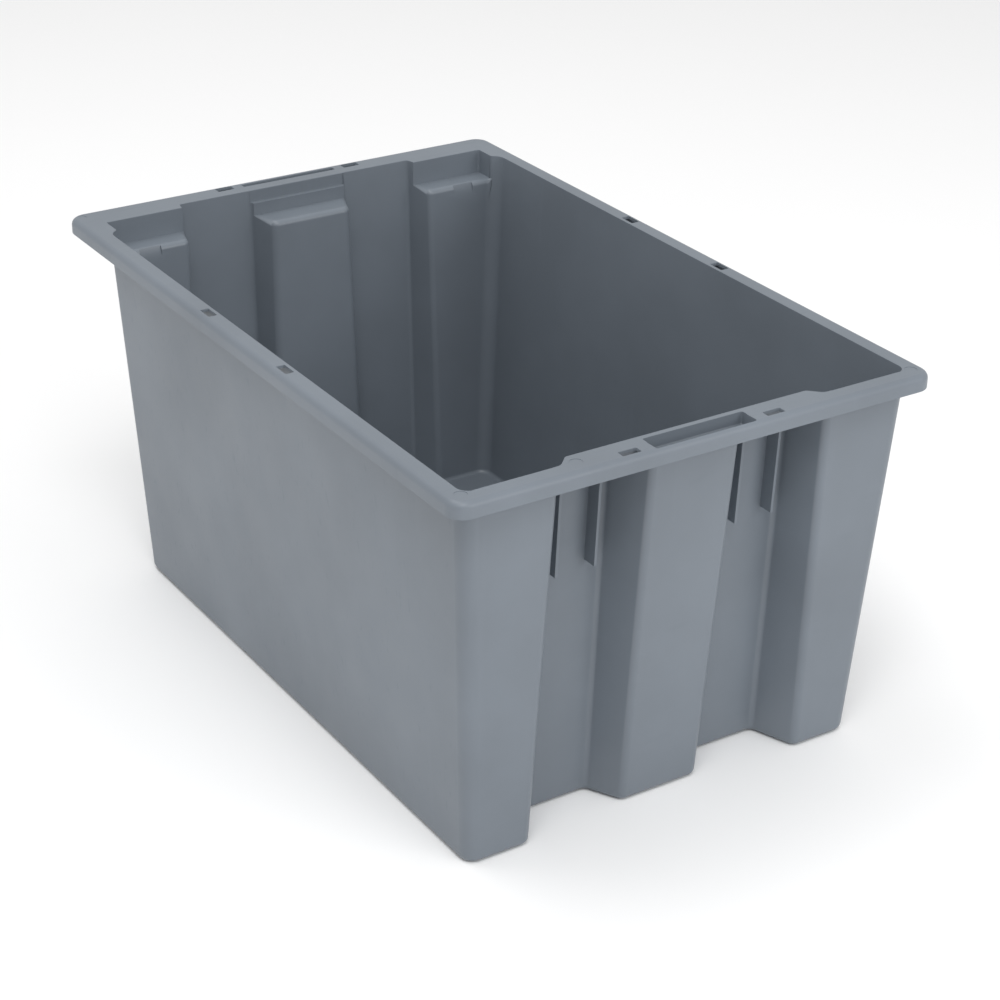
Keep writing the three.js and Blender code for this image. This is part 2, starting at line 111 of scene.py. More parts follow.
class Bench:
    """Modelling steps, each made of Blender operators on one mesh."""

    @staticmethod
    def activate(obj: bpy.types.Object) -> None:
        """Makes an object the only selected one and the active one.

        Args:
            obj: The object.
        """
        bpy.ops.object.select_all(action="DESELECT")
        obj.select_set(True)
        bpy.context.view_layer.objects.active = obj

    @staticmethod
    def named(name: str) -> bpy.types.Object:
        """Names the object that an operator has just added, and clears its placing.

        Args:
            name: Name of the object and of its mesh.

        Returns:
            The object, with its place in its mesh.
        """
        obj = bpy.context.object
        obj.name = name
        obj.data.name = name
        bpy.ops.object.transform_apply(location=True, rotation=True, scale=True)
        return obj

    @classmethod
    def box(cls, name: str, block: Block) -> bpy.types.Object:
        """Adds a cube primitive at a block's size and place.

        Args:
            name: Name of the new object.
            block: Its size and place.

        Returns:
            The new object.
        """
        low, high = Vector(block.low), Vector(block.high)
        bpy.ops.object.select_all(action="DESELECT")
        bpy.ops.mesh.primitive_cube_add(size=1, location=(low + high) / 2, scale=high - low)
        return cls.named(name)

    @classmethod
    def pick(
        cls,
        obj: bpy.types.Object,
        mode: str,
        test: Callable[[bmesh.types.BMVert | Edge | bmesh.types.BMFace], bool],
    ) -> int:
        """Selects, in edit mode, the parts of a mesh that pass a test.

        Args:
            obj: The mesh to select in. It is left in edit mode.
            mode: VERT, EDGE or FACE.
            test: Says whether one vertex, edge or face is wanted.

        Returns:
            How many were selected.
        """
        if bpy.context.mode != "EDIT_MESH":
            cls.activate(obj)
            bpy.ops.object.mode_set(mode="EDIT")
        bpy.ops.mesh.select_mode(type=mode)
        bpy.ops.mesh.select_all(action="DESELECT")
        mesh = bmesh.from_edit_mesh(obj.data)
        parts = {"VERT": mesh.verts, "EDGE": mesh.edges, "FACE": mesh.faces}[mode]
        chosen = [part for part in parts if test(part)]
        for part in chosen:
            part.select_set(True)
        mesh.select_flush_mode()
        bmesh.update_edit_mesh(obj.data)
        return len(chosen)

    @staticmethod
    def close() -> None:
        """Leaves edit mode."""
        if bpy.context.mode == "EDIT_MESH":
            bpy.ops.object.mode_set(mode="OBJECT")

    @classmethod
    def outward(cls, obj: bpy.types.Object) -> None:
        """Turns every face outwards and leaves edit mode.

        Args:
            obj: The mesh.
        """
        cls.pick(obj, "FACE", lambda face: True)
        bpy.ops.mesh.normals_make_consistent(inside=False)
        cls.close()

    @classmethod
    def close_gaps(cls, obj: bpy.types.Object) -> int:
        """Fills the hairline gaps that booleans leave between nearly straight edges.

        Args:
            obj: The mesh to close.

        Returns:
            How many edges were open.
        """
        gaps = cls.pick(obj, "EDGE", lambda edge: len(edge.link_faces) == 1)
        if gaps:
            bpy.ops.mesh.fill()
        cls.outward(obj)
        return gaps

    @classmethod
    def slide(cls, obj: bpy.types.Object, start: Vector, end: Vector) -> None:
        """Moves the vertex at one point to another."""
        cls.pick(obj, "VERT", lambda vert: (vert.co - start).length < SAME_PLACE)
        bpy.ops.transform.translate(value=end - start)

    @classmethod
    def round(
        cls,
        obj: bpy.types.Object,
        test: Callable[[Edge], bool],
        reach: float,
        segments: int,
    ) -> None:
        """Bevels the edges that pass a test, with a circular section.

        Args:
            obj: The mesh to bevel. It is left in edit mode.
            test: Says whether one edge is wanted.
            reach: Distance from the old edge to each new one, along the faces.
            segments: How many strips make the round.
        """
        if cls.pick(obj, "EDGE", test):
            bpy.ops.mesh.bevel(
                offset_type="OFFSET",
                offset=reach,
                segments=segments,
                profile=0.5,
                affect="EDGES",
                clamp_overlap=False,
            )

    @classmethod
    def combine(cls, target: bpy.types.Object, tool: bpy.types.Object, how: Join) -> None:
        """Joins a tool to a target, or cuts the target with it.

        Args:
            target: The mesh that is changed.
            tool: The mesh that is joined or taken away. It is removed.
            how: Whether the tool adds or cuts.
        """
        cls.activate(target)
        step = target.modifiers.new("join", "BOOLEAN")
        step.object = tool
        step.operation = how.value
        step.solver = "EXACT"
        bpy.ops.object.modifier_apply(modifier=step.name)
        mesh = tool.data
        bpy.data.objects.remove(tool)
        bpy.data.meshes.remove(mesh)
        cls.pick(target, "FACE", lambda face: True)
        bpy.ops.mesh.remove_doubles(threshold=WELD)
        cls.close()


def is_upright(edge: Edge) -> bool:
    """Whether an edge climbs more than it runs."""
    a, b = (vert.co for vert in edge.verts)
    return abs(a.z - b.z) > (a.xy - b.xy).length


def lies_at(edge: Edge, z: float) -> bool:
    """Whether both ends of an edge are at a height."""
    return all(abs(vert.co.z - z) < SAME_PLACE for vert in edge.verts)


def is_crisp(edge: Edge) -> bool:
    """Whether two faces meet at an edge with a sharp turn."""
    return len(edge.link_faces) == 2 and edge.calc_face_angle(0) > CRISP_TURN


@dataclass(frozen=True)
class ToteSize:
    """Overall sizes and levels of the tote."""

    length: float = 0.597
    width: float = 0.394
    height: float = 0.300
    wall: float = 0.0025
    floor: float = 0.0032
    rim_width: float = 0.0146
    back_rim_width: float = 0.0224
    corner_rim_width: float = 0.0305
    pad_width: float = 0.0239
    skirt_height: float = 0.012
    ledge_drop: float = 0.0205

    @property
    def side_top(self) -> float:
        """Outer face of a side wall at the rim."""
        return self.width / 2 - self.rim_width + self.wall

    @property
    def front_top(self) -> float:
        """Outer face of a front column at the rim."""
        return self.length / 2 - self.rim_width + self.wall

    @property
    def back_top(self) -> float:
        """Outer face of a back column at the rim."""
        return self.length / 2 - self.back_rim_width + self.wall

    @property
    def skirt_z(self) -> float:
        """Lower edge of the rim's skirt."""
        return self.height - self.skirt_height

    @property
    def ledge_z(self) -> float:
        """Top of the stacking ledges."""
        return self.height - self.ledge_drop

    @property
    def ledge_under_z(self) -> float:
        """Underside of the stacking ledges."""
        return self.ledge_z - self.wall

    @property
    def pad_edge_y(self) -> float:
        """Distance of the pad's inner edge from the middle."""
        return self.length / 2 - self.pad_width

    @property
    def back_edge_y(self) -> float:
        """Inner edge of the back rim."""
        return self.length / 2 - self.back_rim_width

    @property
    def corner_edge_y(self) -> float:
        """Inner edge of the back rim over the corner ledges."""
        return self.length / 2 - self.corner_rim_width


@dataclass(frozen=True)
class WallOutline:
    """The plan outline of the walls at every height. Pairs are (at the rim, at the floor)."""

    size: ToteSize
    draft_side: float = 0.0161
    draft_end: float = 0.0165
    draft_centre: float = 0.0091
    draft_groove: float = 0.0157
    draft_recess: float = 0.0104
    groove_depth: float = 0.0364
    recess_depth: float = 0.0272
    front_centre_face: Span = (0.036, 0.0325)
    front_groove_inner: Span = (0.048, 0.047)
    front_groove_outer: Span = (0.1035, 0.1045)
    front_corner_face: Span = (0.1105, 0.118)
    back_centre_recess: Span = (0.033, 0.039)
    back_column_inner: Span = (0.042, 0.048)
    back_column_outer: Span = (0.1095, 0.105)
    back_corner_recess: Span = (0.115, 0.119)
    corner_radius: float = 0.011
    back_corner_radius: float = 0.0135
    edge_radius: float = 0.007
    root_radius: float = 0.005
    least_radius: float = 0.0012

    def groove_y(self, z: float) -> float:
        """Distance of the front groove's outer face from the middle at a height."""
        top = self.size.front_top - self.groove_depth
        return top - self.draft_groove * (1 - z / self.size.height)

    def recess_y(self, z: float) -> float:
        """Distance of the back recess's outer face from the middle at a height."""
        top = self.size.back_top - self.recess_depth
        return top - self.draft_recess * (1 - z / self.size.height)

    def corners(self, z: float, inset: float = 0.0) -> list[Corner]:
        """The outline at a height, anticlockwise from the front centre column.

        Args:
            z: The height.
            inset: How far inside the outer faces the outline runs.

        Returns:
            The corners, always as many and in the same order.
        """
        drop = 1 - z / self.size.height
        side = self.size.side_top - self.draft_side * drop
        face = self.size.front_top - self.draft_end * drop
        centre = face - self.draft_centre * drop
        column = self.size.back_top - self.draft_end * drop
        groove, recess = self.groove_y(z), self.recess_y(z)
        right = [
            Corner(self._between(self.front_centre_face, drop), -centre, self.edge_radius),
            Corner(self._between(self.front_groove_inner, drop), -groove, self.root_radius),
            Corner(self._between(self.front_groove_outer, drop), -groove, self.root_radius),
            Corner(self._between(self.front_corner_face, drop), -face, self.edge_radius),
            Corner(side, -face, self.corner_radius),
            Corner(side, recess, self.back_corner_radius),
            Corner(self._between(self.back_corner_recess, drop), recess, self.root_radius),
            Corner(self._between(self.back_column_outer, drop), column, self.edge_radius),
            Corner(self._between(self.back_column_inner, drop), column, self.edge_radius),
            Corner(self._between(self.back_centre_recess, drop), recess, self.root_radius),
        ]
        return self._inset(right + mirrored(right), inset)

    @staticmethod
    def _between(pair: Span, drop: float) -> float:
        """The value a share of the way down from the rim to the floor."""
        return pair[0] + (pair[1] - pair[0]) * drop

    def _inset(self, corners: Sequence[Corner], distance: float) -> list[Corner]:
        """Moves every edge of an outline inwards.

        Args:
            corners: The outline, anticlockwise.
            distance: How far each edge moves.

        Returns:
            The moved corners, with their radii fitted.
        """
        moved = []
        for i, corner in enumerate(corners):
            before, after = corners[i - 1], corners[(i + 1) % len(corners)]
            in_a = Vector((before.y - corner.y, corner.x - before.x)).normalized()
            in_b = Vector((corner.y - after.y, after.x - corner.x)).normalized()
            shift = (in_a + in_b) * (distance / (1 + in_a.dot(in_b)))
            bulges = in_a.cross(in_b) > 0
            radius = max(corner.radius + (-distance if bulges else distance), self.least_radius)
            moved.append(Corner(corner.x + shift.x, corner.y + shift.y, radius))
        return moved


@dataclass(frozen=True)
class Prism:
    """An upright solid between a lower and an upper outline with as many corners each."""

    low: Sequence[Corner]
    low_z: float
    high: Sequence[Corner]
    high_z: float
    segments: int = 6

    def build(self, name: str) -> bpy.types.Object:
        """Raises the lower outline to the upper one and rounds every upright edge.

        Args:
            name: Name of the new object.

        Returns:
            The solid.
        """
        bpy.ops.object.select_all(action="DESELECT")
        bpy.ops.mesh.primitive_circle_add(
            vertices=len(self.low), radius=1, fill_type="NGON", location=(0, 0, self.low_z)
        )
        body = Bench.named(name)
        starts = self._anticlockwise([vert.co.copy() for vert in body.data.vertices])
        feet = [Vector((corner.x, corner.y, self.low_z)) for corner in self.low]
        tops = [Vector((corner.x, corner.y, self.high_z)) for corner in self.high]
        for start, foot in zip(starts, feet, strict=True):
            Bench.slide(body, start, foot)
        rise = Vector((0, 0, self.high_z - self.low_z))
        Bench.pick(body, "FACE", lambda face: True)
        bpy.ops.mesh.extrude_region_move(TRANSFORM_OT_translate={"value": rise})
        for foot, top in zip(feet, tops, strict=True):
            Bench.slide(body, foot + rise, top)
        Bench.outward(body)
        for i, corner in enumerate(self.low):
            before, after = feet[i - 1] - feet[i], feet[(i + 1) % len(feet)] - feet[i]
            reach = corner.radius / math.tan(before.angle(after) / 2)
            ends = (feet[i], tops[i])
            Bench.round(body, lambda edge, ends=ends: self._joins(edge, ends), reach, self.segments)
        Bench.outward(body)
        return body

    @staticmethod
    def _anticlockwise(points: list[Vector]) -> list[Vector]:
        """A circle's points, turned round if they run clockwise."""
        turns_left = points[0].xy.cross(points[1].xy) > 0
        return points if turns_left else [points[0], *reversed(points[1:])]

    @staticmethod
    def _joins(edge: Edge, ends: Sequence[Vector]) -> bool:
        """Whether an edge runs between two points."""
        return all(min((vert.co - end).length for vert in edge.verts) < SAME_PLACE for end in ends)


@dataclass(frozen=True)
class WallBody:
    """A solid whose skin follows the walls: the outside of the tote, or the room inside it."""

    outline: WallOutline
    inset: float
    floor_z: float
    top_z: float
    foot_radius: float
    levels: int = 14
    segments: int = 6

    def build(self, name: str) -> bpy.types.Object:
        """Raises the outline from the floor to the top, and rounds its upright and foot edges.

        Args:
            name: Name of the new object.

        Returns:
            The solid.
        """
        body = Prism(
            self.outline.corners(self.floor_z, self.inset),
            self.floor_z,
            self.outline.corners(self.top_z, self.inset),
            self.top_z,
            self.segments,
        ).build(name)
        for k in range(1, self.levels):  # bands keep the turning flanks smooth
            z = self.floor_z + (self.top_z - self.floor_z) * k / self.levels
            Bench.pick(body, "FACE", lambda face: True)
            bpy.ops.mesh.bisect(plane_co=(0, 0, z), plane_no=(0, 0, 1))
        Bench.round(body, lambda edge: lies_at(edge, self.floor_z), self.foot_radius, self.segments)
        Bench.outward(body)
        return body


@dataclass(frozen=True)
class StackingLedges:
    """The ledges that carry a turned tote.

    One is in the middle of the back, two are in its corners, and two are at the front.
    """

    size: ToteSize
    outline: WallOutline
    lip_radius: float = 0.0045
    step_drop: float = 0.010
    step_width: float = 0.005
    post_width: float = 0.007
    post_radius: float = 0.0018
    notch_from_corner: float = 0.0375
    notch_length: float = 0.019
    notch_depth: float = 0.0032
    notch_height: float = 0.009
    notch_reach: float = 0.004
    sunk: float = 0.001
    side_sunk: float = 0.0019
    room_reach: float = 0.010
    post_segments: int = 4
    lip_segments: int = 6
    post_slack: float = 1e-4

    @property
    def back_face(self) -> float:
        """Inner face of the back pilasters just under the lip."""
        return self.outline.recess_y(self.size.ledge_z - self.lip_radius) - self.size.wall

    @property
    def front_face(self) -> float:
        """Inner face of the front grooves just under the lip, as a distance from the middle."""
        return self.outline.groove_y(self.size.ledge_z - self.lip_radius) - self.size.wall

    @property
    def post_x(self) -> float:
        """Face of the corner posts."""
        return self.size.side_top - self.size.wall - self.post_width

    @property
    def centre_half(self) -> float:
        """Half the room above the back centre ledge."""
        return self.outline.back_column_inner[0] + self.size.wall

    @property
    def corner_start(self) -> float:
        """Where the room above a back corner ledge starts."""
        return self.outline.back_column_outer[0] - self.size.wall

    def blocks(self) -> list[Block]:
        """Sizes the plastic that the ledges and their aprons are cut from.

        Returns:
            The blocks of the middle ledge, and of the others on both sides.
        """
        size, wall = self.size, self.size.wall
        low, high = size.ledge_under_z, size.height - wall / 2
        back, half = self.back_face + wall, self.centre_half + wall
        start, end = self._front_span()
        made = [Block((-half, back, low), (half, size.back_top - self.sunk, high))]
        for side in SIDES:
            corner = Block(
                (self.corner_start - wall, back, low),
                (size.side_top - self.side_sunk, size.corner_edge_y + wall, high),
            )
            groove = Block(
                (start - wall, -size.pad_edge_y - wall, low),
                (end + wall, -self.front_face - wall, high),
            )
            made += [corner.on(side), groove.on(side), self._notch_back().on(side)]
        return made

    def _notch_back(self) -> Block:
        """Sizes the thicker wall behind a notch, so that the notch doesn't open the face.

        Returns:
            The block behind the right notch.
        """
        middle, half = self.size.side_top - self.notch_from_corner, self.notch_length / 2
        wall, z = self.size.wall, self.size.ledge_z
        return Block(
            (middle - half - wall, self.back_face + wall / 2, z - self.notch_height - wall),
            (middle + half + wall, self.back_face + self.notch_depth + wall, z - self.sunk),
        )

    def rooms(self) -> list[Block]:
        """Sizes the air above the ledges.

        Returns:
            One block for each room, and one for the step above the middle ledge.
        """
        size, low, high = self.size, self.size.ledge_z, self.size.height + OVERSHOOT
        back, front = self.back_face - self.room_reach, -self.front_face + self.room_reach
        half, (start, end) = self.centre_half, self._front_span()
        step_z = size.height - self.step_drop
        made = [
            Block((-half, back, low), (half, size.back_edge_y - self.step_width, high)),
            Block((-half, back, step_z), (half, size.back_edge_y - HAIR, high)),
        ]
        for side in SIDES:
            corner = Block((self.corner_start, back, low), (self.post_x, size.corner_edge_y, high))
            groove = Block((start, -size.pad_edge_y - HAIR, low), (end, front, high))
            made += [corner.on(side), groove.on(side)]
        return made

    def notches(self) -> list[bpy.types.Object]:
        """Models the air of the notches in the corner ledges' lips.

        Returns:
            Two wedges that run out down the face.
        """
        middle, half = self.size.side_top - self.notch_from_corner, self.notch_length / 2
        face, foot = self.back_face, self.size.ledge_z - self.notch_height
        near, deep = face - self.notch_reach, face + self.notch_depth
        top = self.size.ledge_z + self.sunk
        made = []
        for side in SIDES:
            block = Block((middle - half, near, foot), (middle + half, deep, top))
            tool = Bench.box("notch", block.on(side))
            for x in (side * (middle - half), side * (middle + half)):
                Bench.slide(tool, Vector((x, deep, foot)), Vector((x, face - HAIR, foot)))
            Bench.close()
            made.append(tool)
        return made

    def _front_span(self) -> Span:
        """Where the room above a front ledge starts and ends."""
        wall = self.size.wall
        return self.outline.front_centre_face[0] - wall, self.outline.front_corner_face[0] + wall

    def _on_post(self, edge: Edge) -> bool:
        """Whether an upright edge above the ledges is the corner of a post."""
        return is_upright(edge) and all(
            vert.co.z > self.size.ledge_z - SAME_PLACE
            and abs(abs(vert.co.x) - self.post_x) < self.post_slack
            for vert in edge.verts
        )

    def open_air(self, air: bpy.types.Object) -> None:
        """Adds the rooms to the air inside the tote, rounds their lips, and adds the notches.

        Args:
            air: The air inside the walls.
        """
        z = self.size.ledge_z
        for room in self.rooms():
            Bench.combine(air, Bench.box("room", room), Join.UNION)
        Bench.outward(air)
        Bench.round(air, self._on_post, self.post_radius, self.post_segments)
        Bench.round(
            air,
            lambda edge: lies_at(edge, z) and not edge.is_convex,
            self.lip_radius,
            self.lip_segments,
        )
        Bench.outward(air)
        for tool in self.notches():
            Bench.outward(tool)
            Bench.combine(air, tool, Join.UNION)


@dataclass(frozen=True)
class RimFrame:
    """The flat rim with its rounded outer edge, and the skirt that hangs from it."""

    size: ToteSize
    corner_radius: float = 0.0135
    edge_radius: float = 0.005
    segments: int = 8

    def build(self) -> bpy.types.Object:
        """Shapes a slab and hollows it from below.

        Returns:
            The rim with its skirt.
        """
        size = self.size
        x, y = size.width / 2, size.length / 2
        rim = Bench.box("rim", Block((-x, -y, size.skirt_z), (x, y, size.height)))
        Bench.round(rim, is_upright, self.corner_radius, self.segments)
        Bench.round(rim, lambda edge: lies_at(edge, size.height), self.edge_radius, self.segments)
        Bench.outward(rim)
        inner_x, inner_y = x - size.wall, y - size.wall
        low, high = size.skirt_z - OVERSHOOT, size.height - size.wall
        channel = Bench.box("channel", Block((-inner_x, -inner_y, low), (inner_x, inner_y, high)))
        Bench.round(channel, is_upright, self.corner_radius - size.wall, self.segments)
        Bench.outward(channel)
        Bench.combine(rim, channel, Join.CUT)
        return rim


@dataclass(frozen=True)
class RimPad:
    """The wide part of the front rim, with a pocket sunk in it."""

    size: ToteSize
    flat_half: float = 0.0995
    foot_half: float = 0.1085
    shoulder_radius: float = 0.004
    foot_radius: float = 0.007
    pocket_half: float = 0.0414
    pocket_width: float = 0.0164
    pocket_from_edge: float = 0.0034
    pocket_depth: float = 0.0093
    pocket_radius: float = 0.0014
    pocket_foot: float = 0.0010
    pocket_segments: int = 4
    pocket_foot_segments: int = 3
    cup_front: float = 0.0015
    plate_sunk: float = 0.0005
    plate_lap: float = 0.0001
    plate_reach: float = 0.012
    plate_radius: float = 0.0004
    block_lap: float = 0.005
    block_sunk: float = 0.001
    block_rise: float = 0.0003
    air_lap: float = 0.007
    air_reach: float = 0.010
    air_edge: float = 0.00015
    air_shoulder: float = 0.0001
    air_rim: float = 0.0003
    air_back: float = 0.002
    air_rise: float = 0.0005
    air_radius: float = 0.0002

    def plate(self) -> bpy.types.Object:
        """Models the pad itself, with sloping ends.

        Returns:
            The plate, a wall thick.
        """
        size = self.size
        buried, edge = size.front_top - self.plate_sunk, size.front_top - size.wall + self.plate_lap
        far, inner = self.foot_half + self.plate_reach, size.pad_edge_y
        right = [
            Corner(far, -buried, self.plate_radius),
            Corner(far, -edge, self.plate_radius),
            Corner(self.foot_half, -edge, self.foot_radius),
            Corner(self.flat_half, -inner, self.shoulder_radius),
        ]
        corners = right + mirrored(right)
        return Prism(corners, size.height - size.wall, corners, size.height).build("pad")

    def end_blocks(self, outline: WallOutline) -> list[Block]:
        """Sizes the plastic under the sloping ends of the pad.

        Args:
            outline: The walls that the blocks lean on.

        Returns:
            A block for each end.
        """
        size = self.size
        near, far = self.flat_half - self.block_lap, outline.front_corner_face[0] + 2 * size.wall
        outer, inner = -size.front_top + self.block_sunk, -size.pad_edge_y - self.block_sunk
        low, high = size.skirt_z + self.block_rise, size.height - size.wall / 2
        block = Block((near, outer, low), (far, inner, high))
        return [block.on(side) for side in SIDES]

    def end_air(self) -> list[bpy.types.Object]:
        """Models the air beyond the sloping ends of the pad, down to a small step.

        Returns:
            The left air and the right air.
        """
        size = self.size
        edge, back = size.pad_edge_y + self.air_edge, size.pad_edge_y - self.air_back
        rim = size.front_top - size.wall - self.air_rim
        near, far = self.flat_half - self.air_lap, self.foot_half + self.air_reach
        right = [
            Corner(near, -edge, self.air_radius),
            Corner(self.flat_half - self.air_shoulder, -edge, self.shoulder_radius),
            Corner(self.foot_half, -rim, self.foot_radius),
            Corner(far, -rim, self.air_radius),
            Corner(far, -back, self.air_radius),
            Corner(near, -back, self.air_radius),
        ]
        low, high = size.skirt_z + size.wall + self.air_rise, size.height + OVERSHOOT
        sides = (mirrored(right), right)
        return [Prism(corners, low, corners, high).build("pad_end") for corners in sides]

    def pocket_y(self) -> Span:
        """Outer and inner side of the pocket."""
        outer = -self.size.length / 2 + self.pocket_from_edge
        return outer, outer + self.pocket_width

    def cup(self) -> Block:
        """Sizes the plastic round the pocket.

        Returns:
            The block that the pocket is sunk in.
        """
        size, (outer, inner) = self.size, self.pocket_y()
        half = self.pocket_half + size.wall
        return Block(
            (-half, outer - self.cup_front, size.height - self.pocket_depth - size.wall),
            (half, inner + size.wall, size.height - size.wall / 2),
        )

    def pocket(self) -> bpy.types.Object:
        """Models the air in the pocket, with rounded corners and foot.

        Returns:
            The tool that cuts the pocket.
        """
        outer, inner = self.pocket_y()
        floor_z, top_z = self.size.height - self.pocket_depth, self.size.height + OVERSHOOT
        tool = Bench.box(
            "pocket", Block((-self.pocket_half, outer, floor_z), (self.pocket_half, inner, top_z))
        )
        Bench.round(tool, is_upright, self.pocket_radius, self.pocket_segments)
        Bench.round(
            tool,
            lambda edge: lies_at(edge, floor_z),
            self.pocket_foot,
            self.pocket_foot_segments,
        )
        Bench.outward(tool)
        return tool


@dataclass(frozen=True)
class RimCuts:
    """The slots through the top of the rim, and the long slot in the back rim."""

    size: ToteSize
    slot_length: float = 0.0145
    slot_width: float = 0.0068
    from_middle: float = 0.0593
    from_edge: float = 0.0082
    corner_radius: float = 0.0008
    long_half: float = 0.043
    long_width: float = 0.0055
    long_from_edge: float = 0.006
    segments: int = 3

    def blocks(self) -> list[Block]:
        """Sizes every cut as a box.

        Returns:
            Eight short slots and the long one.
        """
        size = self.size
        low, high = size.skirt_z, size.height + OVERSHOOT
        half_length, half_width = self.slot_length / 2, self.slot_width / 2
        made = []
        for side in SIDES:
            x = side * (size.width / 2 - self.from_edge)
            y = side * (size.length / 2 - self.from_edge)
            for step in SIDES:
                start = step * self.from_middle - half_length
                end = step * self.from_middle + half_length
                made.append(Block((x - half_width, start, low), (x + half_width, end, high)))
                made.append(Block((start, y - half_width, low), (end, y + half_width, high)))
        outer, half = size.length / 2 - self.long_from_edge, self.long_half
        made.append(Block((-half, outer - self.long_width, low), (half, outer, high)))
        return made

    def build(self) -> list[bpy.types.Object]:
        """Models one tool per cut, with rounded corners.

        Returns:
            The tools.
        """
        tools = []
        for block in self.blocks():
            tool = Bench.box("slot", block)
            Bench.round(tool, is_upright, self.corner_radius, self.segments)
            Bench.outward(tool)
            tools.append(tool)
        return tools


@dataclass(frozen=True)
class GrooveRibs:
    """Thin upright ribs that prop the front ledges from below, two in each groove."""

    size: ToteSize
    outline: WallOutline
    thickness: float = 0.0022
    depth: float = 0.012
    height: float = 0.077
    from_groove_middle: float = 0.016
    edge_radius: float = 0.0004
    segments: int = 2

    def _on_outer_face(self, edge: Edge) -> bool:
        """Whether an edge runs along the outer face of the rib, and not across its thickness."""
        return edge.calc_length() > self.thickness * 1.5 and all(
            vert.co.y < -self.outline.groove_y(vert.co.z) - self.depth / 2 for vert in edge.verts
        )

    def build(self) -> list[bpy.types.Object]:
        """Models one rib and copies it to its four places.

        Returns:
            The four ribs.
        """
        top = self.size.ledge_under_z + self.size.wall / 2
        foot = self.size.ledge_under_z - self.height
        root, half = self.outline.groove_y(top), self.thickness / 2
        first = Bench.box(
            "rib",
            Block((-half, -root - self.depth, foot), (half, -root + self.size.wall / 2, top)),
        )
        lean = Vector((0, root - self.outline.groove_y(foot), 0))
        Bench.pick(first, "VERT", lambda vert: abs(vert.co.z - foot) < SAME_PLACE)
        bpy.ops.transform.translate(value=lean)
        Bench.round(first, self._on_outer_face, self.edge_radius, self.segments)
        Bench.outward(first)
        inner, far = self.outline.front_groove_inner[0], self.outline.front_groove_outer[0]
        middle = (inner + far) / 2
        ribs = []
        for side in SIDES:
            for step in SIDES:
                rib = first.copy()
                rib.data = first.data.copy()
                bpy.context.scene.collection.objects.link(rib)
                Bench.activate(rib)
                x = side * (middle + step * self.from_groove_middle)
                bpy.ops.transform.translate(value=(x, 0, 0))
                bpy.ops.object.transform_apply(location=True, rotation=False, scale=False)
                ribs.append(rib)
        bpy.data.objects.remove(first)
        return ribs


@dataclass(frozen=True)
class PinMarks:
    """Round marks that the mould's ejector pins leave on the rim."""

    size: ToteSize
    radius: float = 0.0047
    depth: float = 0.00022
    segments: int = 40
    places: tuple[Span, ...] = (
        (-0.0975, -0.2845),
        (-0.1850, -0.2850),
        (0.1850, -0.2850),
        (-0.1885, 0.2880),
        (0.1885, 0.2880),
    )

    def build(self) -> list[bpy.types.Object]:
        """Models one shallow disc per mark.

        Returns:
            The discs, half sunk in the rim.
        """
        tools = []
        for x, y in self.places:
            bpy.ops.object.select_all(action="DESELECT")
            bpy.ops.mesh.primitive_cylinder_add(
                vertices=self.segments,
                radius=self.radius,
                depth=2 * self.depth,
                location=(x, y, self.size.height),
            )
            tools.append(Bench.named("pin"))
        return tools


